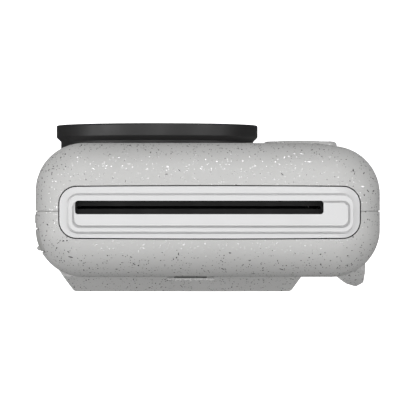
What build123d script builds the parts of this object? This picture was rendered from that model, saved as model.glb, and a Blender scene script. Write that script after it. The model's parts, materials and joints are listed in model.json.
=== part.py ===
from build123d import *
import math
import os

# Instant camera. Millimetres, +Z up towards the film exit, the lens looks along -Y.

# Body shell
BODY_WIDTH = 82.5
BODY_HEIGHT = 122.0
FRONT_Y = -15.5
BACK_Y = 16.6
CORNER_R = 11.5
TOP_R = 10.5
BOTTOM_R = 8.0
WALL = 2.0
SEAM_Y = 0.75
SEAM_GAP = 0.2
SEAM_DEPTH = 0.4
GRIP_X = -21.5
GRIP_R = 60.0

# Lens group, on an axis along Y
LENS_X = 12.6
LENS_Z = 83.0
RING_R = 25.0
RING_FRONT_Y = -20.4
BAND_BACK_Y = -17.4
NECK_R = 23.9
NECK_BACK_Y = -11.6
PLATE_R = 22.5
BARREL_R = 7.8
LENS_R = 4.2

# Film exit bezel
BEZEL_X = -0.45
BEZEL_Y = 1.12
BEZEL_LENGTH = 71.1
BEZEL_WIDTH = 11.95
BEZEL_R = 4.1
BEZEL_BOW = 0.2
BEZEL_GAP = 0.28
TERRACE_X = -0.73
TERRACE_Y = 1.42
TERRACE_LENGTH = 67.5
TERRACE_WIDTH = 8.75
PANEL_X = -0.81
PANEL_Y = 1.57
PANEL_LENGTH = 64.8
PANEL_WIDTH = 5.5
STEP = 0.45
GROOVE = 0.42
SLOT_X = 2.0
SLOT_Y = -0.04
SLOT_LENGTH = 58.7
SLOT_WIDTH = 3.2

# Shutter pad and button
PAD_X = -23.3
PAD_Z = 62.0
PAD_WIDTH = 18.6
PAD_HEIGHT = 30.0
PAD_Y = -16.7
SHUTTER_R = 5.5

# Film door and what it carries
DOOR_X0 = -28.5
DOOR_X1 = 37.3
DOOR_Z0 = 11.8
DOOR_Z1 = 105.5
DOOR_IN_Y = 13.8
PLATEAU_Y = 20.4
PLATEAU_X0 = -20.2
PLATEAU_X1 = 32.5
PLATEAU_Z0 = 12.5
PLATEAU_Z1 = 112.0
RAMP_Z = 99.6
RAMP_TURN = 32.5
PLATEAU_TAPER = 33.0
HINGE_Y = 13.8
HINGE_Z = 8.6
HINGE_R = 2.8
HINGE_X = 28.0
PIN_R = 0.8
GLASS_X = 6.0
GLASS_Z = 67.0
GLASS_WIDTH = 46.0
GLASS_HEIGHT = 62.0
KEY_Z = 24.0
KEY_R = 3.0
KEY_FACE_Y = 20.3
KEY_PANEL_Y = 19.8
ROCKER_R = 8.5
KEY_GAP = 0.35
SIDE_KEYS = {"print_button": (-12.0, 28.5), "play_button": (-12.0, 19.0), "back_button": (24.0, 24.0)}

# Film chamber and exit rollers
CHAMBER_X0 = -28.5
CHAMBER_X1 = 35.5
CHAMBER_Z0 = 10.4
CHAMBER_Z1 = 105.2
CHAMBER_Y0 = -2.6
CHAMBER_Y1 = 12.0
CHAMBER_WALL = 1.2
ROLLER_Z = 112.0
ROLLER_R = 4.0
FRONT_ROLLER_Y = -4.4
REAR_ROLLER_Y = 4.0
ROLLER_X0 = -25.5
ROLLER_X1 = 29.7
SHAFT_R = 1.5
RUN_FIT = 0.05

# Gear train, module and tooth counts
MODULE = 0.6
ROLLER_TEETH = 14
IDLER_TEETH = 20
PINION_TEETH = 10
GEAR_X0 = -31.3
GEAR_X1 = -29.1
IDLER_Y = -5.6
PINION_Y = -7.9
PIVOT_R = 0.95
MOTOR_R = 4.8

# Small parts
SIDE_KEY_ZS = (100.0, 88.0, 76.0)
SIDE_KEY_Y = -2.4
SIDE_PROUD_X = 41.65
POWER_Y = 2.7
POWER_Z = 104.0
FLAP_Z = 110.0
FLAP_Y0 = 5.2
FLAP_Y1 = 10.4
LUG_Z = 94.0
LUG_HOLE_X = -34.95
LUG_HOLE_Y = 16.57
LUG_HOLE_R = 0.8
LUG_HOLE_TURN = 24.4
SPEAKER_X = -22.8
SPEAKER_Z = 19.6
LATCH_X = 4.1
LATCH_Z = 110.6
SCREW_PLACES = ((1, 16.0), (1, 70.0), (-1, 16.0), (-1, 60.0))
SCREW_Y = 4.0


def block(x0, x1, y0, y1, z0, z1):
    return Pos((x0 + x1) / 2, (y0 + y1) / 2, (z0 + z1) / 2) * Box(x1 - x0, y1 - y0, z1 - z0)


def rod_x(y, z, radius, x0, x1):
    return Pos((x0 + x1) / 2, y, z) * Rot(0, 90, 0) * Cylinder(radius, x1 - x0)


def rod_y(x, z, radius, y0, y1):
    return Pos(x, (y0 + y1) / 2, z) * Rot(90, 0, 0) * Cylinder(radius, y1 - y0)


def rod_z(x, y, radius, z0, z1):
    return Pos(x, y, (z0 + z1) / 2) * Cylinder(radius, z1 - z0)


def tube_y(x, z, outer, inner, y0, y1):
    return rod_y(x, z, outer, y0, y1) - rod_y(x, z, inner, y0 - 1, y1 + 1)


def slab_y(x, z, width, height, radius, y0, y1):
    """Rounded rectangle facing Y, from y0 to y1."""
    plate = extrude(RectangleRounded(width, height, radius), (y1 - y0) / 2, both=True)
    return Pos(x, (y0 + y1) / 2, z) * Rot(90, 0, 0) * plate


def slab_x(y, z, width, height, radius, x0, x1):
    """Rounded rectangle facing X, width along Y and height along Z."""
    plate = extrude(RectangleRounded(height, width, radius), (x1 - x0) / 2, both=True)
    return Pos((x0 + x1) / 2, y, z) * Rot(0, 90, 0) * plate


def soften(solid, axis, last, radius):
    """Round the edges of the end face of a solid along an axis."""
    face = solid.faces().sort_by(axis)[-1 if last else 0]
    return fillet(face.edges(), radius)


def envelope(inset):
    """Outer form of the body, or the same form moved inward."""
    x = BODY_WIDTH / 2 - inset
    body = block(-x, x, FRONT_Y + inset, BACK_Y - inset, inset, BODY_HEIGHT - inset)
    side = block(-x - 1, GRIP_X, FRONT_Y, FRONT_Y + 8, -1, BODY_HEIGHT + 1)
    body -= side - rod_z(GRIP_X, FRONT_Y + GRIP_R, GRIP_R - inset, -2, BODY_HEIGHT + 2)
    corners = [e for e in body.edges().filter_by(Axis.Z) if abs(e.center().X) > x - 0.1]
    body = fillet(corners, CORNER_R - inset)
    body = fillet(body.faces().sort_by(Axis.Z)[-1].edges(), TOP_R - inset)
    return fillet(body.faces().sort_by(Axis.Z)[0].edges(), BOTTOM_R - inset)


def bowed_prism(length, width, radius, bow, x, y, z0, z1, taper=0.0):
    """Rounded rectangle with long sides bowed outward, widening downward by the taper."""
    a = length / 2
    b = width / 2
    outline = make_face([
        ThreePointArc((-a, -b), (0, -b - bow), (a, -b)),
        Line((a, -b), (a, b)),
        ThreePointArc((a, b), (0, b + bow), (-a, b)),
        Line((-a, b), (-a, -b)),
    ])
    outline = fillet(outline.vertices(), radius)
    prism = extrude(Plane((x, y, z1), z_dir=(0, 0, -1)) * outline, z1 - z0, taper=-taper)
    return prism


def bezel_outline(gap, z0, z1):
    return bowed_prism(
        BEZEL_LENGTH + 2 * gap, BEZEL_WIDTH + 2 * gap, BEZEL_R + gap, BEZEL_BOW, BEZEL_X, BEZEL_Y, z0, z1
    )


def slot_prism(grow, z0, z1):
    plate = extrude(RectangleRounded(SLOT_LENGTH + 2 * grow, SLOT_WIDTH + 2 * grow, 0.7 + grow), z1 - z0)
    return Pos(SLOT_X, SLOT_Y, z0) * plate


def screw_boss_tab(side, z):
    """Tab of the front shell that reaches behind the rear shell wall."""
    x_out = side * 39.1
    x_in = side * 37.5
    tab = block(min(x_in, x_out), max(x_in, x_out), -3.0, 6.2, z - 2.6, z + 2.6)
    tab += block(min(x_in, side * 40), max(x_in, side * 40), -3.0, 0.6, z - 2.6, z + 2.6)
    return tab - rod_x(SCREW_Y, z, 0.66, min(x_in, x_out) - 1, max(x_in, x_out) + 1)


def front_shell():
    outer = envelope(0)
    shell = outer & block(-50, 50, -30, SEAM_Y, -5, 130)
    shell += envelope(SEAM_DEPTH) & block(-50, 50, SEAM_Y - 0.5, SEAM_Y + SEAM_GAP, -5, 130)
    shell -= envelope(WALL)
    shell -= bezel_outline(BEZEL_GAP, 110, 130)
    shell -= rod_y(LENS_X, LENS_Z, NECK_R + 0.1, -30, NECK_BACK_Y + 0.8)
    shell -= slab_y(PAD_X, PAD_Z, PAD_WIDTH - 2, PAD_HEIGHT - 2, 4.0, -20, -14.7)
    shell -= rod_y(PAD_X, PAD_Z, SHUTTER_R + 0.35, -20, -12)
    shell -= slab_y(-20.0, 104.0, 14.3, 9.3, 2.15, -20, -12)
    shell -= rod_y(-20.0, 91.0, 4.65, -20, -14.4)
    shell -= rod_y(-20.0, 81.0, 1.15, -20, -12)
    for column in range(3):
        for row in range(3):
            shell -= rod_y(SPEAKER_X - 2.6 + 2.6 * column, SPEAKER_Z - 2.6 + 2.6 * row, 0.6, -20, -12)
    for z in SIDE_KEY_ZS:
        shell -= slab_x(SIDE_KEY_Y, z, 3.6, 8.6, 1.75, -45, -38)
    for side, z in SCREW_PLACES:
        shell += screw_boss_tab(side, z)
    for x, z in ((-33.0, 30.0), (34.0, 56.0), (-6.0, 54.0)):
        shell += rod_y(x, z, 1.6, -13.6, -4.6)
    return shell


def rear_shell():
    shell = envelope(0) & block(-50, 50, SEAM_Y + SEAM_GAP, 30, -5, 130)
    shell -= envelope(WALL)
    shell -= bezel_outline(BEZEL_GAP, 110, 130)
    shell -= block(DOOR_X0 - 0.35, DOOR_X1 + 0.35, 7.5, 30, DOOR_Z0 - 0.35, DOOR_Z1 + 0.35)
    shell -= rod_x(HINGE_Y, HINGE_Z, HINGE_R + 0.35, -HINGE_X - 0.4, HINGE_X + 0.4)
    shell -= block(-HINGE_X - 0.4, HINGE_X + 0.4, HINGE_Y - 2, 30, HINGE_Z - HINGE_R - 0.35, DOOR_Z0)
    ledge = block(DOOR_X0 - 0.35, DOOR_X1 + 0.35, HINGE_Y, 30, HINGE_Z, DOOR_Z0)
    shell -= ledge - rod_x(HINGE_Y, HINGE_Z, HINGE_R, -45, 45)
    for side in (-1, 1):
        x0 = min(side * (HINGE_X + 0.4), side * (HINGE_X + 4.4))
        lug = rod_x(HINGE_Y, HINGE_Z, 1.7, x0, x0 + 4.0)
        lug += block(x0, x0 + 4.0, HINGE_Y, 15.6, HINGE_Z - 1.7, HINGE_Z + 1.7)
        shell += lug & envelope(WALL / 2)
    shell -= rod_x(HINGE_Y, HINGE_Z, PIN_R + 0.02, -HINGE_X - 3, HINGE_X + 3)
    shell -= slab_y(LATCH_X, LATCH_Z, 8.6, 5.8, 1.0, 10, 20)
    shell -= slab_x(POWER_Y, POWER_Z, 2.9, 9.6, 1.4, 38, 45)
    recess = slab_x((FLAP_Y0 + FLAP_Y1) / 2, FLAP_Z, 5.9, 12.7, 1.2, 38, 45)
    shell -= recess - envelope(1.35)
    shell -= slab_x(7.7, FLAP_Z, 3.5, 9.3, 1.5, 38, 45)
    for side, z in SCREW_PLACES:
        shell -= rod_x(SCREW_Y, z, 0.8, side * 40 - 3, side * 40 + 3)
        shell -= rod_x(SCREW_Y, z, 1.5, side * 42.3 - 2, side * 42.3 + 2)
    shell -= strap_lug_body()
    return shell


def strap_lug_body():
    """Wedge that fills its seat in the back corner."""
    outline = make_face(Polyline(
        (-31.0, 14.9), (-31.2, 16.5), (-33.9, 18.6), (-36.2, 19.3), (-37.9, 18.2), (-38.2, 14.5),
        (-38.1, 11.6), (-36.0, 12.6), (-33.5, 14.2), (-31.0, 14.9)
    ))
    soft = [v for v in outline.vertices() if v.Y > 17.5]
    lug = extrude(Pos(0, 0, LUG_Z - 10.0) * fillet(soft, 0.8), 20.0)
    return lug & rod_x(6.0, LUG_Z, 13.6, -45, -25)


def strap_lug():
    """Lug with a hole for the strap cord, running along the corner of the body."""
    hole = Pos(LUG_HOLE_X, LUG_HOLE_Y, LUG_Z) * Rot(0, 0, LUG_HOLE_TURN) * rod_x(0, 0, LUG_HOLE_R, -12, 12)
    return strap_lug_body() - hole


def step_outline(length, width, x, y, z0, z1):
    """One concentric step of the frame round the slot."""
    radius = max(BEZEL_R - (BEZEL_WIDTH - width) / 2, 1.6)
    return Pos(x, y, z0) * extrude(RectangleRounded(length, width, radius), z1 - z0)


def film_exit_bezel():
    """Frame round the film slot in three steps, with a groove at the foot of each."""
    bezel = bezel_outline(0, 118.6, 130) & envelope(0)
    steps = (
        (TERRACE_LENGTH, TERRACE_WIDTH, TERRACE_X, TERRACE_Y, BODY_HEIGHT - 0.35, BODY_HEIGHT + STEP),
        (PANEL_LENGTH, PANEL_WIDTH, PANEL_X, PANEL_Y, BODY_HEIGHT, BODY_HEIGHT + 2 * STEP),
    )
    for length, width, x, y, floor, top in steps:
        bezel -= step_outline(length + 2 * GROOVE, width + 2 * GROOVE, x, y, floor, 130)
        step = step_outline(length, width, x, y, 119.0, top)
        bezel += soften(step, Axis.Z, True, 0.2)
    bezel -= block(BEZEL_X - 30.4, BEZEL_X + 31.6, BEZEL_Y - 2.8, BEZEL_Y + 2.8, 110, 120.2)
    bezel -= slot_prism(0.0, 110, 130)
    bezel -= slot_prism(0.9, 110, 121.6)
    return bezel


def slot_light_seal():
    """Dark liner of the slot, with two felt lips that close on the film."""
    liner = slot_prism(0.85, 117.2, 121.5) - slot_prism(0.0, 110, 130)
    x0 = SLOT_X - SLOT_LENGTH / 2
    x1 = SLOT_X + SLOT_LENGTH / 2
    for side in (-1, 1):
        y_out = SLOT_Y + side * SLOT_WIDTH / 2
        y_in = SLOT_Y + side * 0.35
        liner += block(x0, x1, min(y_in, y_out), max(y_in, y_out), 117.2, 118.4)
    return liner


def lens_ring():
    """Flat band standing off the front on an undercut neck."""
    profile = make_face(Polyline(
        (PLATE_R + 0.05, RING_FRONT_Y), (RING_R, RING_FRONT_Y), (RING_R, BAND_BACK_Y),
        (NECK_R, BAND_BACK_Y + 1.1), (NECK_R, NECK_BACK_Y), (21.2, NECK_BACK_Y), (21.2, -18.4),
        (PLATE_R + 0.05, -18.4), (PLATE_R + 0.05, RING_FRONT_Y)
    ))
    ring = Pos(LENS_X, 0, LENS_Z) * revolve(profile, Axis.Y)
    edges = ring.edges().filter_by(GeomType.CIRCLE)
    rims = [e for e in edges if e.radius > RING_R - 0.1 or e.center().Y < RING_FRONT_Y + 0.1]
    return fillet(rims, 0.35)


def lens_face_plate():
    plate = tube_y(LENS_X, LENS_Z, PLATE_R, BARREL_R + 0.05, -19.9, -18.4)
    return plate


def lens_barrel():
    """Barrel with a stepped cone inside the front and a flange behind the face plate."""
    barrel = rod_y(LENS_X, LENS_Z, BARREL_R, -20.2, -9.2)
    barrel += rod_y(LENS_X, LENS_Z, 9.5, -18.35, -17.2)
    for step in range(5):
        barrel -= rod_y(LENS_X, LENS_Z, 6.8 - 0.5 * step, -21, -19.7 + 0.45 * step)
    barrel -= rod_y(LENS_X, LENS_Z, LENS_R + 0.02, -18, -8)
    barrel += tube_y(LENS_X, LENS_Z, LENS_R + 0.4, 2.6, -15.4, -14.2)
    return barrel


def lens_front_element():
    """Meniscus with its bulging side forward."""
    ball = Pos(LENS_X, -8.6, LENS_Z) * Sphere(8.9)
    return rod_y(LENS_X, LENS_Z, LENS_R, -20, -15.5) & ball


def lens_inner_element():
    lens = rod_y(LENS_X, LENS_Z, LENS_R, -14.1, -11.6)
    return lens - Pos(LENS_X, -4.8, LENS_Z) * Sphere(7.6)


def lens_mount_plate():
    """Disc inside the ring that centres the barrel."""
    return tube_y(LENS_X, LENS_Z, 21.1, BARREL_R + 0.05, -13.4, -12.2)


def camera_module():
    housing = block(LENS_X - 8, LENS_X + 8, -9.1, -5.2, LENS_Z - 8, LENS_Z + 8)
    housing -= block(LENS_X - 6.8, LENS_X + 6.8, -8.3, -6.0, LENS_Z - 6.8, LENS_Z + 6.8)
    return housing - rod_y(LENS_X, LENS_Z, LENS_R, -10, -7)


def image_sensor():
    return block(LENS_X - 3.4, LENS_X + 3.4, -7.0, -6.05, LENS_Z - 2.8, LENS_Z + 2.8)


def selfie_mirror():
    """Small bulging mirror set into the front."""
    ball = Pos(-20.0, 9.4, 91.0) * Sphere(24.9)
    return rod_y(-20.0, 91.0, 4.5, -17, -14.45) & ball


def flash_window():
    window = slab_y(-20.0, 104.0, 14.0, 9.0, 2.0, -15.45, -13.9)
    for column in range(9):
        window -= rod_z(-25.6 + 1.4 * column, -13.9, 0.35, 100.6, 107.4)
    return window


def flash_reflector():
    """Trough open to the front, with holes for the tube."""
    body = slab_y(-20.0, 104.0, 13.2, 8.2, 1.4, -13.4, -9.0)
    hollow = rod_x(-12.6, 104.0, 3.3, -25.8, -14.2)
    hollow += block(-25.8, -14.2, -14, -12.6, 100.7, 107.3)
    return body - hollow - rod_x(-11.6, 104.0, 1.05, -30, -10)


def flash_tube():
    return rod_x(-11.6, 104.0, 1.0, -27.2, -12.8)


def flash_capacitor():
    can = rod_x(-8.6, 43.0, 3.6, -33.0, -9.0)
    return soften(can, Axis.X, True, 0.5)


def status_lens():
    return rod_y(-20.0, 81.0, 1.1, -15.45, -13.0)


def speaker_driver():
    body = slab_y(SPEAKER_X, SPEAKER_Z, 11.0, 11.0, 2.0, -13.05, -10.2)
    return body - rod_y(SPEAKER_X, SPEAKER_Z, 4.3, -13.4, -12.4)


def shutter_pad():
    """Raised pad that frames the shutter button."""
    pad = slab_y(PAD_X, PAD_Z, PAD_WIDTH, PAD_HEIGHT, 5.0, PAD_Y, -12)
    pad = soften(pad, Axis.Y, False, 1.0)
    pad -= envelope(0)
    pad += slab_y(PAD_X, PAD_Z, PAD_WIDTH - 2.1, PAD_HEIGHT - 2.1, 3.9, PAD_Y + 1.0, -14.75)
    return pad - rod_y(PAD_X, PAD_Z, SHUTTER_R + 0.35, -20, -12)


def shutter_button():
    """Button with a dished face, a retaining flange and a stem."""
    cap = rod_y(PAD_X, PAD_Z, SHUTTER_R, PAD_Y - 0.35, -12.4)
    cap = soften(cap, Axis.Y, False, 0.4)
    cap -= Pos(PAD_X, PAD_Y - 45.0, PAD_Z) * Sphere(45.0)
    cap += rod_y(PAD_X, PAD_Z, SHUTTER_R + 1.0, -12.9, -12.2)
    return cap + rod_y(PAD_X, PAD_Z, 1.4, -12.3, -9.9)


def button_board():
    """Board with the press switch of the shutter button."""
    board = slab_y(PAD_X + 1.0, PAD_Z, 20.0, 16.0, 1.0, -7.0, -6.0)
    board += slab_y(PAD_X, PAD_Z, 5.2, 5.2, 0.6, -8.5, -6.9)
    return board + rod_y(PAD_X, PAD_Z, 1.2, -8.7, -8.4)


def shortcut_button(z):
    """Side button with a flange inside the wall."""
    cap = slab_x(SIDE_KEY_Y, z, 2.9, 7.9, 1.4, -SIDE_PROUD_X, -38.4)
    cap = soften(cap, Axis.X, False, 0.25)
    return cap + slab_x(SIDE_KEY_Y, z, 4.4, 9.4, 1.6, -38.7, -38.1)


def side_switches():
    """Strip with a switch for each side button, and the switch of the power button."""
    strip = block(-36.6, -36.0, -4.8, -0.2, 68.0, 106.0)
    for z in SIDE_KEY_ZS:
        strip += slab_x(SIDE_KEY_Y, z, 2.6, 3.4, 0.5, -37.1, -36.5)
    return strip + slab_x(POWER_Y, POWER_Z, 3.0, 6.0, 0.5, 36.2, 37.1)


def power_button():
    cap = slab_x(POWER_Y, POWER_Z, 2.2, 8.9, 1.05, 38.5, SIDE_PROUD_X)
    cap = soften(cap, Axis.X, True, 0.25)
    return cap + slab_x(POWER_Y, POWER_Z, 3.6, 10.6, 1.2, 38.1, 38.7)


def port_cover():
    """Soft flap over the socket with a lip for a fingernail."""
    y_mid = (FLAP_Y0 + FLAP_Y1) / 2
    flap = slab_x(y_mid, FLAP_Z, FLAP_Y1 - FLAP_Y0, 12.0, 0.9, 38, 45) & envelope(0)
    flap -= envelope(1.05)
    return flap + rod_z(40.25, 9.7, 0.6, FLAP_Z - 3.0, FLAP_Z + 3.0)


def usb_socket():
    """Metal socket with its tongue."""
    socket = slab_x(7.7, FLAP_Z, 3.2, 9.0, 1.4, 33.4, 39.0)
    socket -= slab_x(7.7, FLAP_Z, 2.5, 8.3, 1.2, 34.4, 40)
    return socket + block(34.2, 38.4, 7.4, 8.0, FLAP_Z - 3.2, FLAP_Z + 3.2)


def main_board():
    """Main circuit board with its chips and connectors."""
    board = block(-34.5, 36.0, -4.6, -3.5, 13.0, 50.0)
    board += block(-8.0, 36.0, -4.6, -3.5, 50.0, 97.0)
    for x, z, w, h, t in ((-14.0, 22.0, 9.0, 9.0, 1.0), (-2.0, 66.0, 6.0, 8.0, 1.2), (-18.0, 34.0, 5.0, 4.0, 1.4)):
        board += block(x - w / 2, x + w / 2, -4.6 - t, -4.5, z - h / 2, z + h / 2)
    for column in range(5):
        board += block(24.0 + 2.2 * column, 25.4 + 2.2 * column, -5.3, -4.5, 92.0, 93.6)
    return board


def board_shield():
    can = slab_y(20.0, 62.0, 24.0, 14.0, 1.0, -6.6, -4.6)
    return can - block(8.6, 31.4, -6.2, -4, 55.6, 68.4)


def battery():
    cell = slab_y(14.0, 31.5, 36.0, 34.0, 2.5, -12.6, -6.4)
    return soften(cell, Axis.Y, False, 0.8)


def chamber_frame():
    """Open tray that holds the film cartridge behind the exit rollers."""
    x0 = CHAMBER_X0 + CHAMBER_WALL
    x1 = CHAMBER_X1 - CHAMBER_WALL
    frame = block(CHAMBER_X0, CHAMBER_X1, CHAMBER_Y0, CHAMBER_Y1, CHAMBER_Z0, CHAMBER_Z1)
    frame -= block(x0, x1, CHAMBER_Y0 + 1.4, 30, CHAMBER_Z0 + CHAMBER_WALL, CHAMBER_Z1 - CHAMBER_WALL)
    frame -= block(SLOT_X - 28.5, SLOT_X + 28.5, CHAMBER_Y0 + 1.4, 1.0, CHAMBER_Z1 - 3, CHAMBER_Z1 + 1)
    frame -= block(-25.5, 29.7, -5, 0, 99.6, 102.6)
    frame -= block(CHAMBER_X0 - 1, x0 + 1.5, -1.3, 1.1, 12.4, 21.0)
    return frame - rod_x(HINGE_Y, HINGE_Z, HINGE_R + 0.4, -HINGE_X - 0.4, HINGE_X + 0.4)


def print_head():
    """Light bar that writes the picture through the window of the chamber."""
    head = block(-25.0, 29.2, -7.6, -2.65, 99.0, 104.6)
    head -= block(-23.5, 27.7, -3.4, -2, 100.2, 102.0)
    return head


def film_claw():
    """Pusher that lifts the exposed film into the rollers."""
    claw = block(-31.0, -29.2, -0.9, 0.7, 13.4, 86.0)
    return claw + block(-29.4, -26.4, -0.9, 0.7, 13.4, 15.4)


def roller_frame():
    """Two cheeks joined by bars, bored for the roller shafts."""
    frame = block(-28.4, -26.9, -9.4, 8.6, 105.6, 117.0)
    frame += block(31.1, 32.6, -9.4, 8.6, 105.6, 117.0)
    frame += block(-27.5, 32.0, -8.8, -6.6, 105.6, 107.0)
    frame += block(-27.5, 32.0, 6.2, 8.6, 105.6, 107.0)
    for y in (FRONT_ROLLER_Y, REAR_ROLLER_Y):
        frame -= rod_x(y, ROLLER_Z, SHAFT_R + RUN_FIT, -30, 34)
    frame += block(-28.4, -26.9, -7.4, -4.0, 99.8, 105.8)
    return frame + rod_x(IDLER_Y, idler_z(), PIVOT_R, GEAR_X0 - 0.3, -27.5)


def roller(y):
    """Film roller with its shaft ends."""
    barrel = rod_x(y, ROLLER_Z, ROLLER_R, ROLLER_X0, ROLLER_X1)
    return barrel + rod_x(y, ROLLER_Z, SHAFT_R, GEAR_X0 - 0.4, 33.2)


def idler_z():
    """Height of the idler, one pitch distance below the front roller."""
    reach = MODULE * (ROLLER_TEETH + IDLER_TEETH) / 2
    return ROLLER_Z - math.sqrt(reach ** 2 - (IDLER_Y - FRONT_ROLLER_Y) ** 2)


def pinion_z():
    reach = MODULE * (IDLER_TEETH + PINION_TEETH) / 2
    return idler_z() - math.sqrt(reach ** 2 - (PINION_Y - IDLER_Y) ** 2)


def gear(teeth, y, z, bore, phase):
    """Involute spur gear about an X axis, with one tooth centred on the phase angle."""
    pitch = MODULE * teeth / 2
    base = pitch * math.cos(math.radians(20))
    tip = pitch + 0.85 * MODULE
    root = pitch - 1.15 * MODULE
    half = math.pi / (2 * teeth) - 0.06 / pitch
    roll_pitch = math.sqrt((pitch / base) ** 2 - 1)
    offset = half + roll_pitch - math.atan(roll_pitch)
    points = []
    for tooth in range(teeth):
        centre = phase + 2 * math.pi * tooth / teeth
        flank = []
        for step in range(4):
            r = max(base, root) + (tip - max(base, root)) * step / 3
            turn = math.sqrt((r / base) ** 2 - 1)
            flank.append((r, offset - turn + math.atan(turn)))
        flank.insert(0, (root, flank[0][1] + 0.02))
        for r, angle in flank:
            points.append((r * math.cos(centre - angle), r * math.sin(centre - angle)))
        for r, angle in reversed(flank):
            points.append((r * math.cos(centre + angle), r * math.sin(centre + angle)))
    outline = make_face(Polyline(*points, close=True))
    plane = Plane(origin=(GEAR_X0, y, z), x_dir=(0, 1, 0), z_dir=(1, 0, 0))
    wheel = extrude(plane * outline, GEAR_X1 - GEAR_X0)
    return wheel - rod_x(y, z, bore, GEAR_X0 - 1, GEAR_X1 + 1)


def motor_body():
    """Motor can with flats front and back."""
    can = rod_x(PINION_Y, pinion_z(), MOTOR_R + 0.6, -28.3, -11.3)
    can &= block(-30, -5, PINION_Y - MOTOR_R, PINION_Y + MOTOR_R, 80, 110)
    return can - rod_x(PINION_Y, pinion_z(), 1.0, -29, -20)


def motor_pinion(phase):
    """Pinion in one piece with the motor shaft."""
    shaft = rod_x(PINION_Y, pinion_z(), 0.95, GEAR_X0 - 0.2, -21.0)
    return gear(PINION_TEETH, PINION_Y, pinion_z(), 0.9, phase) + shaft


def plateau():
    """Raised field of the door, with sloping sides."""
    width = PLATEAU_X1 - PLATEAU_X0
    height = PLATEAU_Z1 - PLATEAU_Z0
    top = RectangleRounded(width, height, 4.0)
    x_mid = (PLATEAU_X0 + PLATEAU_X1) / 2
    z_mid = (PLATEAU_Z0 + PLATEAU_Z1) / 2
    plane = Plane(origin=(x_mid, PLATEAU_Y, z_mid), x_dir=(1, 0, 0), z_dir=(0, -1, 0))
    field = extrude(plane * top, PLATEAU_Y - DOOR_IN_Y, taper=-PLATEAU_TAPER)
    field -= Pos(0, PLATEAU_Y, RAMP_Z) * Rot(RAMP_TURN, 0, 0) * block(-60, 60, 0, 30, -30, 60)
    return soften(field, Axis.Y, True, 1.3)


def film_door():
    """Back door with the screen and key recesses, swinging on a barrel along its lower edge."""
    footprint = block(DOOR_X0, DOOR_X1, DOOR_IN_Y, 30, DOOR_Z0, DOOR_Z1)
    door = (envelope(0) + plateau()) & footprint
    door += rod_x(HINGE_Y, HINGE_Z, HINGE_R, -HINGE_X, HINGE_X)
    door += block(-HINGE_X, HINGE_X, HINGE_Y, HINGE_Y + HINGE_R, HINGE_Z, DOOR_Z0 + 0.5)
    door -= rod_x(HINGE_Y, HINGE_Z, PIN_R + RUN_FIT, -40, 40)
    door -= slab_y(GLASS_X, 56.0, 47.6, 83.0, 1.5, DOOR_IN_Y - 1, 17.6)
    door -= slab_y(GLASS_X, GLASS_Z, 42.4, 57.4, 1.0, 15, 19.5)
    door -= slab_y(GLASS_X, GLASS_Z, GLASS_WIDTH + 0.3, GLASS_HEIGHT + 0.3, 3.15, 19.5, 25)
    door -= slab_y(GLASS_X, KEY_Z, 44.0, 19.6, 5.0, KEY_PANEL_Y, 25)
    door -= rod_y(GLASS_X, KEY_Z, ROCKER_R + 0.4, 15, 25)
    for x, z in SIDE_KEYS.values():
        door -= rod_y(x, z, KEY_R + KEY_GAP, 15, 25)
    return door


def door_inner_plate():
    """Steel plate that closes the inside of the door."""
    plate = slab_y(3.5, 57.8, 58.6, 87.0, 3.0, DOOR_IN_Y - 0.8, DOOR_IN_Y)
    return plate - rod_y(-22.0, 90.0, 1.0, 10, 15) - rod_y(29.0, 90.0, 1.0, 10, 15)


def pressure_springs():
    """Two bowed leaf springs that press the cartridge forward."""
    springs = Part()
    for z in (34.0, 78.0):
        leaf = Pos(3.5, 0, z) * rod_x(82.0, 0, 70.1, -20.0, 20.0)
        leaf -= Pos(3.5, 0, z) * rod_x(82.0, 0, 69.7, -21.0, 21.0)
        springs += leaf & block(-50, 50, 5, DOOR_IN_Y - 0.81, z - 20, z + 20)
    return springs


def hinge_pin():
    return rod_x(HINGE_Y, HINGE_Z, PIN_R, -HINGE_X - 2.8, HINGE_X + 2.8)


def lcd_glass():
    glass = slab_y(GLASS_X, GLASS_Z, GLASS_WIDTH, GLASS_HEIGHT, 3.0, 19.5, PLATEAU_Y)
    return soften(glass, Axis.Y, True, 0.2)


def lcd_panel():
    return slab_y(GLASS_X, GLASS_Z, 42.0, 57.0, 1.0, 17.7, 19.45)


def door_board():
    """Board under the keys, with a switch for each."""
    board = slab_y(GLASS_X, 56.0, 46.8, 82.0, 1.0, 14.0, 14.9)
    for x, z in list(SIDE_KEYS.values()) + [(GLASS_X, KEY_Z)]:
        board += rod_y(x, z, 1.9, 14.8, 15.2)
    return board


def round_key(x, z, radius):
    """Round key with a flange under the door skin and a stem."""
    cap = rod_y(x, z, radius, 16.9, KEY_FACE_Y)
    cap = soften(cap, Axis.Y, True, 0.35)
    cap += rod_y(x, z, radius + 0.9, 16.6, 17.2)
    return cap + rod_y(x, z, 1.0, 15.9, 16.8)


def rocker():
    """Round rocker key with a hole for the centre key."""
    ring = rod_y(GLASS_X, KEY_Z, ROCKER_R, 17.9, KEY_FACE_Y)
    ring = soften(ring, Axis.Y, True, 0.5)
    return ring - rod_y(GLASS_X, KEY_Z, 3.9, 15, 25)


def rocker_pivot():
    """Ring that carries the rocker and tilts the other way."""
    return tube_y(GLASS_X, KEY_Z, 7.0, 5.2, 16.6, 17.3)


def ok_key():
    cap = rod_y(GLASS_X, KEY_Z, 3.4, 16.1, KEY_FACE_Y)
    cap = soften(cap, Axis.Y, True, 0.35)
    return cap + rod_y(GLASS_X, KEY_Z, 4.3, 15.8, 16.3)


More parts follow.
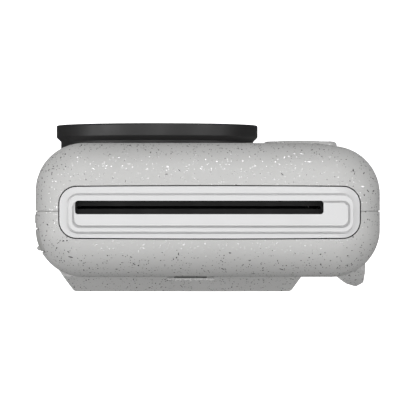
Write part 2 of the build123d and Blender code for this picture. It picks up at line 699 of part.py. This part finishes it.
def door_latch():
    """Slider with grip ribs outside and a hook inside."""
    slide = slab_y(LATCH_X, LATCH_Z, 11.6, 6.4, 0.8, BACK_Y + 0.3, BACK_Y + 0.55)
    for column in range(9):
        slide += slab_y(LATCH_X - 4.8 + 1.2 * column, LATCH_Z, 0.6, 5.4, 0.25, BACK_Y + 0.4, BACK_Y + 0.85)
    slide += slab_y(LATCH_X, LATCH_Z - 0.9, 7.8, 3.4, 0.6, 12.6, BACK_Y + 0.4)
    slide += slab_y(LATCH_X, LATCH_Z - 0.9, 12.0, 4.4, 0.6, 12.6, 14.2)
    return slide + block(LATCH_X - 3, LATCH_X + 3, 12.6, 13.6, 105.9, 108.0)


def case_screws():
    screws = Part()
    for side, z in SCREW_PLACES:
        head = rod_x(SCREW_Y, z, 1.4, side * 40.8 - 0.35, side * 40.8 + 0.35)
        head -= block(side * 41.1 - 0.2, side * 41.1 + 0.2, SCREW_Y - 0.9, SCREW_Y + 0.9, z - 0.18, z + 0.18)
        head -= block(side * 41.1 - 0.2, side * 41.1 + 0.2, SCREW_Y - 0.18, SCREW_Y + 0.18, z - 0.9, z + 0.9)
        screws += head + rod_x(SCREW_Y, z, 0.65, side * 38.7 - 1.9, side * 38.7 + 1.9)
    return screws


def gear_phases():
    """Phase of each gear so that teeth meet gaps along the line of centres."""
    down = math.atan2(idler_z() - ROLLER_Z, IDLER_Y - FRONT_ROLLER_Y)
    front = down
    idler = down + math.pi + math.pi / IDLER_TEETH
    toward_rear = math.pi / ROLLER_TEETH
    steps = round((0 - front) / (2 * math.pi / ROLLER_TEETH))
    shift = -(front + steps * 2 * math.pi / ROLLER_TEETH)
    rear = math.pi + toward_rear + shift
    along = math.atan2(pinion_z() - idler_z(), PINION_Y - IDLER_Y)
    pitch_angle = 2 * math.pi / IDLER_TEETH
    lead = along - idler - round((along - idler) / pitch_angle) * pitch_angle
    pinion = along + math.pi + math.pi / PINION_TEETH + lead * IDLER_TEETH / PINION_TEETH
    return front, rear, idler, pinion


def build():
    front_phase, rear_phase, idler_phase, pinion_phase = gear_phases()
    parts = {
        "front_shell": front_shell(),
        "rear_shell": rear_shell(),
        "film_exit_bezel": film_exit_bezel(),
        "slot_light_seal": slot_light_seal(),
        "lens_ring": lens_ring(),
        "lens_face_plate": lens_face_plate(),
        "lens_barrel": lens_barrel(),
        "lens_front_element": lens_front_element(),
        "lens_inner_element": lens_inner_element(),
        "lens_mount_plate": lens_mount_plate(),
        "camera_module": camera_module(),
        "image_sensor": image_sensor(),
        "selfie_mirror": selfie_mirror(),
        "flash_window": flash_window(),
        "flash_reflector": flash_reflector(),
        "flash_tube": flash_tube(),
        "flash_capacitor": flash_capacitor(),
        "status_lens": status_lens(),
        "speaker_driver": speaker_driver(),
        "shutter_pad": shutter_pad(),
        "shutter_button": shutter_button(),
        "button_board": button_board(),
        "shortcut_button_1": shortcut_button(SIDE_KEY_ZS[0]),
        "shortcut_button_2": shortcut_button(SIDE_KEY_ZS[1]),
        "shortcut_button_3": shortcut_button(SIDE_KEY_ZS[2]),
        "side_switches": side_switches(),
        "power_button": power_button(),
        "port_cover": port_cover(),
        "usb_socket": usb_socket(),
        "main_board": main_board(),
        "board_shield": board_shield(),
        "battery": battery(),
        "chamber_frame": chamber_frame(),
        "print_head": print_head(),
        "film_claw": film_claw(),
        "roller_frame": roller_frame(),
        "front_roller": roller(FRONT_ROLLER_Y),
        "rear_roller": roller(REAR_ROLLER_Y),
        "front_roller_gear": gear(ROLLER_TEETH, FRONT_ROLLER_Y, ROLLER_Z, SHAFT_R + 0.01, front_phase),
        "rear_roller_gear": gear(ROLLER_TEETH, REAR_ROLLER_Y, ROLLER_Z, SHAFT_R + 0.01, rear_phase),
        "idler_gear": gear(IDLER_TEETH, IDLER_Y, idler_z(), PIVOT_R + RUN_FIT, idler_phase),
        "motor_body": motor_body(),
        "motor_pinion": motor_pinion(pinion_phase),
        "film_door": film_door(),
        "door_inner_plate": door_inner_plate(),
        "pressure_springs": pressure_springs(),
        "hinge_pin": hinge_pin(),
        "lcd_glass": lcd_glass(),
        "lcd_panel": lcd_panel(),
        "door_board": door_board(),
        "rocker": rocker(),
        "rocker_pivot": rocker_pivot(),
        "ok_key": ok_key(),
        "door_latch": door_latch(),
        "strap_lug": strap_lug(),
        "case_screws": case_screws(),
    }
    for name, (x, z) in SIDE_KEYS.items():
        parts[name] = round_key(x, z, KEY_R)
    return parts


def main():
    os.makedirs("parts", exist_ok=True)
    for name, shape in build().items():
        export_step(shape, f"parts/{name}.step")
        print(name, shape.bounding_box())


main()
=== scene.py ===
import json
import math

import bmesh
import bpy
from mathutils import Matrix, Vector


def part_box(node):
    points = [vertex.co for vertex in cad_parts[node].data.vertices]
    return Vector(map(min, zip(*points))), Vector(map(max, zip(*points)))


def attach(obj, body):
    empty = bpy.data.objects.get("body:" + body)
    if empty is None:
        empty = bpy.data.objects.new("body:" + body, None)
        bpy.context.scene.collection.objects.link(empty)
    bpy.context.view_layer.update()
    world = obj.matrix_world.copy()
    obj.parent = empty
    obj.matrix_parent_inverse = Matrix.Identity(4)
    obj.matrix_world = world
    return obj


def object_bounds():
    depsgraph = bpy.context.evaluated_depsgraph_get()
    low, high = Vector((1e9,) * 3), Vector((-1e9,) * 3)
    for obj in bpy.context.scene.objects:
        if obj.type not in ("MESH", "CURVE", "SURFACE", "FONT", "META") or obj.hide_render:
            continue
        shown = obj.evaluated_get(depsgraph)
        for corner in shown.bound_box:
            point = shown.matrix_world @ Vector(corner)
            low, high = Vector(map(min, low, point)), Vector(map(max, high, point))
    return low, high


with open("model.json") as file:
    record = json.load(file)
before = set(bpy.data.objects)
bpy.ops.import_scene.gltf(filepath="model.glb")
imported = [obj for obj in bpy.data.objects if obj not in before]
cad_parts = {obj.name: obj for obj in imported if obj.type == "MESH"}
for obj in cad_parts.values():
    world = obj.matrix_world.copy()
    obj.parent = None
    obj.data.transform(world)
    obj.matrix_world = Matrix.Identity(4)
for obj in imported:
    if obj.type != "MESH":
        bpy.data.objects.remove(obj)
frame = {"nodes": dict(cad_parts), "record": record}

CAD_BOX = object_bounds()
NODES = frame["nodes"]
MM = 0.001

# Camera above the film exit end, looking straight down
VIEW_DISTANCE = 0.72
VIEW_LENS = 264.06
VIEW_SENSOR = 36.0
VIEW_X = -0.06 * MM
VIEW_Y = 0.09 * MM

# Flakes in the body plastic: spacing, half length, half width and share of places that hold one
LARGE_FLAKES = (0.98 * MM, 0.74 * MM, 0.165 * MM, 0.95)
SMALL_FLAKES = (0.60 * MM, 0.20 * MM, 0.13 * MM, 0.85)
FLAKE_LEAN = 0.42
FLAKE_TONE = 0.46

# Soft boxes round the object: name, size, place and power
LIGHT_AIM = (0.0, 0.0, 0.10)
SOFT_BOXES = (
    ("front_box", (1.2, 1.0), (0.05, -0.97, 0.97), 11.5),
    ("back_box", (1.2, 1.0), (0.0, 0.92, 1.02), 7.0),
    ("right_box", (1.0, 1.1), (1.12, 0.0, 0.75), 11.0),
    ("left_box", (1.0, 1.1), (-1.12, 0.0, 0.75), 8.6),
)
GLINT_BOX = ("top_box", (0.9, 0.8), (0.0, 0.0, 1.45), 5.0)
SURROUND_LIGHT = 0.08
FLOOR_SIZE = 3.0
FLOOR_GLOW = 0.75

# Raised signs on the keys, in millimetres
SIGN_SUNK = 0.03
SIGN_HEIGHT = 0.07
ROCKER_SIGN_REACH = 6.2


class Net:
    """Small helper that builds a node material."""

    def __init__(self, name):
        self.material = bpy.data.materials.new(name)
        self.material.use_nodes = True
        self.tree = self.material.node_tree
        self.tree.nodes.clear()
        self.output = self.add("ShaderNodeOutputMaterial")
        self.shader = self.add("ShaderNodeBsdfPrincipled")
        self.link(self.shader.outputs["BSDF"], self.output.inputs["Surface"])
        self.place = self.add("ShaderNodeTexCoord").outputs["Object"]

    def add(self, kind, **values):
        """New node with some of its settings."""
        node = self.tree.nodes.new(kind)
        for key, value in values.items():
            setattr(node, key, value)
        return node

    def link(self, source, target):
        self.tree.links.new(source, target)

    def feed(self, target, value):
        """Plugs a socket in, or sets a plain value."""
        if isinstance(value, bpy.types.NodeSocket):
            self.link(value, target)
        else:
            target.default_value = value

    def math(self, operation, a, b=0.0):
        node = self.add("ShaderNodeMath", operation=operation)
        self.feed(node.inputs[0], a)
        self.feed(node.inputs[1], b)
        return node.outputs[0]

    def vector(self, operation, a, b=(0.0, 0.0, 0.0), output=0):
        node = self.add("ShaderNodeVectorMath", operation=operation)
        self.feed(node.inputs[0], a)
        self.feed(node.inputs[1], b)
        return node.outputs[output]

    def ramp(self, value, low, high, to_low=0.0, to_high=1.0):
        """Straight line from (low, to_low) to (high, to_high), held at both ends."""
        node = self.add("ShaderNodeMapRange")
        for socket, number in zip(node.inputs[1:5], (low, high, to_low, to_high)):
            socket.default_value = number
        self.feed(node.inputs[0], value)
        return node.outputs[0]

    def noise(self, scale, detail=3.0, rough=0.5, stretch=(1.0, 1.0, 1.0)):
        """Noise with its scale in features per metre."""
        node = self.add("ShaderNodeTexNoise")
        node.inputs["Scale"].default_value = scale
        node.inputs["Detail"].default_value = detail
        node.inputs["Roughness"].default_value = rough
        self.feed(node.inputs["Vector"], self.vector("MULTIPLY", self.place, stretch))
        return node.outputs[0]

    def mix(self, factor, a, b):
        """Colour or value between a and b."""
        node = self.add("ShaderNodeMix", data_type="RGBA")
        self.feed(node.inputs[0], factor)
        self.feed(node.inputs[6], a)
        self.feed(node.inputs[7], b)
        return node.outputs[2]

    def set(self, **values):
        """Sets shader sockets by name, with underscores for spaces."""
        for key, value in values.items():
            self.feed(self.shader.inputs[key.replace("_", " ")], value)
        return self

    def bump(self, height, distance, strength=1.0, normal=None):
        """Relief on the surface, or on a normal that is given."""
        node = self.add("ShaderNodeBump")
        if normal is not None:
            self.link(normal, node.inputs["Normal"])
        node.inputs["Distance"].default_value = distance
        node.inputs["Strength"].default_value = strength
        self.link(height, node.inputs["Height"])
        self.link(node.outputs[0], self.shader.inputs["Normal"])
        return self


def grey(value, warm=1.0, cool=1.0):
    """Grey with its red and blue shares scaled."""
    return (value * warm, value, value * cool, 1.0)


def shade(colour, share):
    """The same colour with its light scaled by the share."""
    return tuple(c * share for c in colour[:3]) + (1.0,)


def flecks(net, cell, long, wide, share):
    """Mask of small flakes, each a stretched ball turned its own way, and their random colour."""
    points = net.vector("SCALE", net.place)
    points.node.inputs["Scale"].default_value = 1.0 / cell
    voronoi = net.add("ShaderNodeTexVoronoi", feature="F1", voronoi_dimensions="3D")
    voronoi.inputs["Scale"].default_value = 1.0
    net.link(points, voronoi.inputs["Vector"])
    offset = net.vector("SUBTRACT", points, voronoi.outputs["Position"])
    turn = net.add("ShaderNodeVectorRotate", rotation_type="EULER_XYZ")
    net.link(offset, turn.inputs["Vector"])
    net.link(net.vector("MULTIPLY", voronoi.outputs["Color"], (6.28,) * 3), turn.inputs["Rotation"])
    local = net.vector("MULTIPLY", turn.outputs[0], (cell / long, cell / wide, cell / wide))
    ragged = net.math("MULTIPLY", net.noise(2600.0, 2.0), 0.9)
    reach = net.math("ADD", net.vector("LENGTH", local, output=1), ragged)
    parts = net.add("ShaderNodeSeparateColor")
    net.link(voronoi.outputs["Color"], parts.inputs[0])
    size = net.ramp(parts.outputs[1], 1.0 - share, 1.0, 0.55, 1.45)
    chosen = net.math("GREATER_THAN", parts.outputs[1], 1.0 - share)
    mask = net.math("MULTIPLY", net.ramp(net.math("SUBTRACT", size, reach), -0.06, 0.10), chosen)
    return mask, voronoi.outputs["Color"]


def body_plastic():
    """Satin warm grey plastic with glossy flakes in it."""
    net = Net("body_plastic")
    wide, random_wide = flecks(net, *LARGE_FLAKES)
    small, random_small = flecks(net, *SMALL_FLAKES)
    mask = net.math("MAXIMUM", wide, small)
    cloud = net.noise(60.0, 3.0)
    grain = net.noise(5200.0, 2.0)
    base = net.mix(net.ramp(cloud, 0.3, 0.7), grey(0.472, 1.004, 0.986), grey(0.496, 1.003, 0.988))
    colour = net.mix(mask, base, grey(FLAKE_TONE))
    net.set(Base_Color=colour, Metallic=mask)
    net.set(Roughness=net.mix(mask, grey(0.52), grey(0.22)))
    net.set(IOR=1.46)
    lean = net.vector("SUBTRACT", net.mix(wide, random_small, random_wide), (0.5, 0.5, 0.5))
    lean = net.vector("MULTIPLY", lean, net.mix(mask, grey(0.0), grey(FLAKE_LEAN)))
    facing = net.add("ShaderNodeNewGeometry").outputs["Normal"]
    normal = net.vector("NORMALIZE", net.vector("ADD", facing, lean))
    height = net.math("MULTIPLY", grain, net.math("SUBTRACT", 1.0, mask))
    return net.bump(height, 0.02 * MM, 0.35, normal).material


def painted(name, colour, rough, grain, depth, wear):
    """Moulded or painted surface with fine grain and a little uneven sheen."""
    net = Net(name)
    cloud = net.noise(90.0, 4.0)
    fine = net.noise(grain, 2.0)
    net.set(Base_Color=net.mix(net.ramp(cloud, 0.3, 0.7), shade(colour, 1.0 - wear), colour))
    net.set(Roughness=net.ramp(net.noise(240.0, 4.0), 0.25, 0.75, rough * 0.85, min(1.0, rough * 1.15)))
    return net.bump(fine, depth, 0.4).material


def brushed(name, colour, rough=0.3, stretch=(0.02, 1.0, 1.0)):
    """Metal with a drawn grain."""
    net = Net(name)
    lines = net.noise(6000.0, 3.0, stretch=stretch)
    cloud = net.noise(120.0, 3.0)
    net.set(Base_Color=net.mix(net.ramp(cloud, 0.3, 0.7), shade(colour, 0.88), colour))
    net.set(Metallic=1.0, Roughness=net.ramp(lines, 0.3, 0.7, rough * 0.75, rough * 1.3))
    return net.bump(lines, 0.008 * MM, 0.5).material


def rubber(name, colour, strength):
    """Dull soft surface with a coarse grain of the given strength."""
    net = Net(name)
    fine = net.noise(2400.0, 4.0)
    cloud = net.noise(150.0, 3.0)
    net.set(Base_Color=net.mix(net.ramp(cloud, 0.3, 0.7), shade(colour, 0.85), colour))
    net.set(Roughness=net.ramp(cloud, 0.3, 0.7, 0.62, 0.78))
    return net.bump(fine, 0.03 * MM, strength).material


def clear(name, tint, rough=0.03):
    """Clear glass or plastic with faint smears on its sheen."""
    net = Net(name)
    smear = net.noise(70.0, 5.0)
    net.set(Base_Color=net.mix(net.ramp(smear, 0.3, 0.7), tint, grey(0.98)))
    net.set(Transmission_Weight=1.0, IOR=1.50)
    net.set(Roughness=net.ramp(smear, 0.35, 0.75, rough, rough + 0.04))
    return net.material


def gloss_black(name, value=0.012, rough=0.08):
    """Polished black with faint smears."""
    net = Net(name)
    smear = net.noise(90.0, 5.0)
    fine = net.noise(1500.0, 3.0)
    net.set(Base_Color=net.mix(net.ramp(smear, 0.3, 0.7), grey(value), grey(value * 1.5)))
    net.set(Roughness=net.ramp(smear, 0.3, 0.75, rough, rough + 0.08))
    return net.bump(fine, 0.002 * MM, 0.3).material


def circuit(name):
    """Solder mask with raised tracks and pads."""
    net = Net(name)
    grid = net.add("ShaderNodeTexBrick")
    grid.inputs["Scale"].default_value = 260.0
    grid.inputs["Mortar Size"].default_value = 0.03
    swing = net.add("ShaderNodeVectorRotate", rotation_type="X_AXIS")
    swing.inputs["Angle"].default_value = math.pi / 2
    net.link(net.place, swing.inputs["Vector"])
    net.link(swing.outputs[0], grid.inputs["Vector"])
    dots = net.add("ShaderNodeTexVoronoi")
    dots.inputs["Scale"].default_value = 420.0
    net.link(net.place, dots.inputs["Vector"])
    pad = net.ramp(dots.outputs["Distance"], 0.16, 0.19, 1.0, 0.0)
    track = grid.outputs["Fac"]
    green = net.mix(track, (0.012, 0.085, 0.035, 1.0), (0.02, 0.16, 0.06, 1.0))
    net.set(Base_Color=net.mix(pad, green, (0.75, 0.62, 0.35, 1.0)), Metallic=pad)
    net.set(Roughness=net.ramp(net.noise(300.0, 3.0), 0.3, 0.7, 0.22, 0.38))
    return net.bump(net.math("ADD", track, pad), 0.03 * MM, 0.6).material


def wrapped_cell(name):
    """Shrink film over a battery cell."""
    net = Net(name)
    cloud = net.noise(220.0, 4.0)
    net.set(Base_Color=net.mix(net.ramp(cloud, 0.35, 0.65), (0.07, 0.09, 0.12, 1.0), (0.11, 0.13, 0.17, 1.0)))
    net.set(Roughness=net.ramp(cloud, 0.3, 0.7, 0.25, 0.45))
    return net.bump(net.noise(800.0, 4.0), 0.04 * MM, 0.5).material


MATERIALS = {
    "body_plastic": body_plastic(),
    "bezel_silver": painted("bezel_silver", (0.60, 0.60, 0.603, 1.0), 0.38, 5200.0, 0.012 * MM, 0.03),
    "ring_dark": painted("ring_dark", (0.011, 0.0107, 0.011, 1.0), 0.48, 4200.0, 0.01 * MM, 0.12),
    "gloss_black": gloss_black("gloss_black"),
    "matte_black": painted("matte_black", (0.022, 0.022, 0.023, 1.0), 0.62, 3000.0, 0.02 * MM, 0.15),
    "felt_black": rubber("felt_black", (0.004, 0.0038, 0.0036, 1.0), 0.7),
    "lens_glass": clear("lens_glass", (0.90, 0.93, 0.98, 1.0)),
    "clear_plastic": clear("clear_plastic", (0.93, 0.94, 0.95, 1.0), 0.12),
    "mirror": brushed("mirror", (0.92, 0.92, 0.93, 1.0), 0.05, (1.0, 1.0, 1.0)),
    "steel": brushed("steel", (0.60, 0.60, 0.61, 1.0), 0.32),
    "aluminium": brushed("aluminium", (0.78, 0.78, 0.79, 1.0), 0.25),
    "roller_rubber": rubber("roller_rubber", (0.030, 0.030, 0.031, 1.0), 0.7),
    "flap_rubber": rubber("flap_rubber", (0.40, 0.40, 0.39, 1.0), 0.35),
    "gear_plastic": painted("gear_plastic", (0.66, 0.64, 0.58, 1.0), 0.45, 2600.0, 0.01 * MM, 0.08),
    "board_green": circuit("board_green"),
    "battery_wrap": wrapped_cell("battery_wrap"),
    "screen_glass": gloss_black("screen_glass", 0.007, 0.04),
    "screen_panel": gloss_black("screen_panel", 0.015, 0.15),
}


def dress():
    """Gives every CAD node the material of its slot."""
    for part in frame["record"]["subparts"]:
        mesh = NODES[part["node"]].data
        mesh.materials.clear()
        mesh.materials.append(MATERIALS[part["material_slot"]])


def mark(name, node, body, outlines):
    """Thin raised signs on a key face, outlines in millimetres as seen from behind."""
    low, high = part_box(node)
    middle_x = (low[0] + high[0]) / 2
    middle_z = (low[2] + high[2]) / 2
    base_y = high[1] - SIGN_SUNK * MM
    shape = bmesh.new()
    for outline in outlines:
        ring = [shape.verts.new((middle_x - x * MM, base_y, middle_z + z * MM)) for x, z in outline]
        grown = bmesh.ops.extrude_face_region(shape, geom=[shape.faces.new(ring)])["geom"]
        raised = [v for v in grown if isinstance(v, bmesh.types.BMVert)]
        bmesh.ops.translate(shape, vec=(0.0, SIGN_HEIGHT * MM, 0.0), verts=raised)
    bmesh.ops.recalc_face_normals(shape, faces=shape.faces)
    mesh = bpy.data.meshes.new(name)
    shape.to_mesh(mesh)
    shape.free()
    piece = bpy.data.objects.new(name, mesh)
    bpy.context.scene.collection.objects.link(piece)
    mesh.materials.append(MATERIALS["bezel_silver"])
    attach(piece, body)


def arrow(x, z, turn, size):
    """Triangle that points up before it is turned."""
    corners = []
    for step in range(3):
        angle = turn + math.pi / 2 + step * 2 * math.pi / 3
        corners.append((x + size * math.cos(angle), z + size * math.sin(angle)))
    return corners


def key_marks():
    """Signs of the rocker and of the three small keys."""
    around = []
    for quarter in range(4):
        angle = quarter * math.pi / 2
        x = -ROCKER_SIGN_REACH * math.sin(angle)
        z = ROCKER_SIGN_REACH * math.cos(angle)
        around.append(arrow(x, z, angle, 0.75))
    mark("rocker_marks", "rocker", "rocker", around)
    mark("play_mark", "play_button", "play_key", [arrow(-0.1, 0.0, -math.pi / 2, 1.4)])
    page = [(-1.2, -1.4), (1.2, -1.4), (1.2, -0.8), (-1.2, -0.8)]
    mark("print_mark", "print_button", "print_key", [page, arrow(0.0, 0.3, 0.0, 1.0)])
    stem = [(0.1, -0.25), (1.5, -0.25), (1.5, 0.25), (0.1, 0.25)]
    mark("back_mark", "back_button", "back_key", [stem, arrow(-0.5, 0.0, math.pi / 2, 1.0)])


def soft_light(name, size, place, power):
    """Rectangular soft box turned towards the object."""
    data = bpy.data.lights.new(name, "AREA")
    data.shape = "RECTANGLE"
    data.size, data.size_y = size
    data.energy = power
    lamp = bpy.data.objects.new(name, data)
    bpy.context.scene.collection.objects.link(lamp)
    lamp.location = place
    lamp.rotation_euler = (Vector(LIGHT_AIM) - Vector(place)).to_track_quat("-Z", "Y").to_euler()
    return lamp


def studio():
    """Pale floor, even surroundings and soft lights overhead."""
    scene = bpy.context.scene
    mesh = bpy.data.meshes.new("floor")
    shape = bmesh.new()
    bmesh.ops.create_grid(shape, x_segments=1, y_segments=1, size=FLOOR_SIZE)
    shape.to_mesh(mesh)
    shape.free()
    floor = bpy.data.objects.new("floor", mesh)
    scene.collection.objects.link(floor)
    floor.location = (0.0, 0.0, CAD_BOX[0][2])
    net = Net("floor")
    net.set(Base_Color=grey(0.9), Roughness=0.9)
    net.set(Emission_Color=grey(1.0), Emission_Strength=FLOOR_GLOW)
    mesh.materials.append(net.material)
    floor.visible_diffuse = False
    floor.visible_glossy = False
    floor.visible_transmission = False

    world = bpy.data.worlds.new("surroundings")
    world.use_nodes = True
    world.node_tree.nodes["Background"].inputs[0].default_value = (1.0, 1.0, 1.0, 1.0)
    world.node_tree.nodes["Background"].inputs[1].default_value = SURROUND_LIGHT
    scene.world = world

    for box in SOFT_BOXES:
        soft_light(*box)
    soft_light(*GLINT_BOX).visible_diffuse = False


def camera():
    """Camera over the end face, with the lens side at the top of the picture."""
    data = bpy.data.cameras.new("camera")
    data.lens = VIEW_LENS
    data.sensor_width = VIEW_SENSOR
    data.clip_start = 0.01
    data.clip_end = 20.0
    eye = bpy.data.objects.new("camera", data)
    bpy.context.scene.collection.objects.link(eye)
    eye.location = (VIEW_X, VIEW_Y, CAD_BOX[1][2] + VIEW_DISTANCE)
    eye.rotation_euler = (0.0, 0.0, math.pi)
    bpy.context.scene.camera = eye


dress()
key_marks()
studio()
camera()
bpy.context.scene.view_settings.view_transform = "Standard"
bpy.context.view_layer.update()
